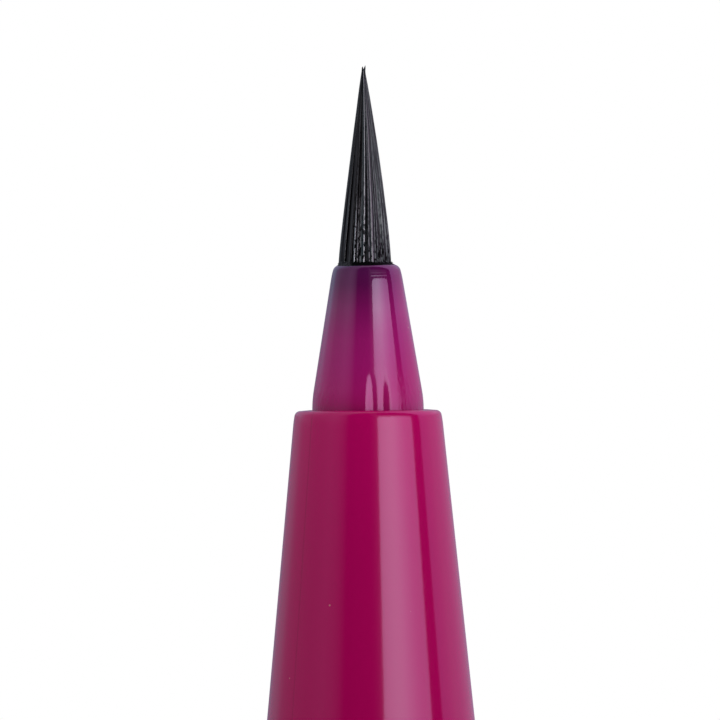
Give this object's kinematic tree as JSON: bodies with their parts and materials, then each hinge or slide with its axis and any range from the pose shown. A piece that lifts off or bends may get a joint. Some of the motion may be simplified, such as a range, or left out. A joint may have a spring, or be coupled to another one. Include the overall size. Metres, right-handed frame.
{
  "type": "eyeliner pen",
  "caption": "Brush-tip liquid eyeliner pen with a fin collector, an ink chamber, a mixing ball and a sprung inner cap, standing on its cap, which is posted on the tail.",
  "frame": {"origin": "middle of the cap's closed end, which the pen stands on", "axes": "+Z along the pen's axis towards the tip of the brush, -Y towards the viewer of the picture, +X to the right"},
  "size_m": [0.01, 0.01, 0.1598],
  "materials": {
    "magenta_plastic": "glossy moulded plastic",
    "nose_plastic": "glossy moulded plastic, darker towards the brush where the black core shows through",
    "natural_plastic": "unpainted moulded plastic",
    "soft_white_plastic": "soft moulded plastic",
    "black_hair": "wet black nylon hairs",
    "feed_fibre": "ink-soaked bonded fibre",
    "seal_rubber": "black rubber",
    "spring_steel": "drawn steel wire",
    "ball_steel": "polished steel"
  },
  "bodies": {
    "cap": {"cap_shell": "magenta_plastic", "inner_cap_spring": "spring_steel"},
    "inner_cap": {"inner_cap": "soft_white_plastic"},
    "pen": {"barrel": "magenta_plastic", "tail_post": "magenta_plastic", "tail_stopper": "soft_white_plastic", "front_section": "magenta_plastic", "nose_cone": "nose_plastic", "brush_sleeve": "natural_plastic", "brush_tuft": "black_hair", "feed_rod": "feed_fibre", "collector": "natural_plastic", "collector_seal": "seal_rubber"},
    "mixing_ball": {"mixing_ball": "ball_steel"}
  },
  "joints": [
    {"name": "cap_pull", "type": "slide", "parent": "cap", "child": "pen", "axis": [0, 0, 1], "range_m": [0, 0.015]},
    {"name": "inner_cap_press", "type": "slide", "parent": "cap", "child": "inner_cap", "axis": [0, 0, -1], "range_m": [0, 0.0012], "stiffness_N_per_m": 15, "springref_m": -0.0004, "deforming": ["inner_cap_spring"]},
    {"name": "ball_travel", "type": "slide", "parent": "pen", "child": "mixing_ball", "axis": [0, 0, 1], "range_m": [0, 0.059]}
  ]
}
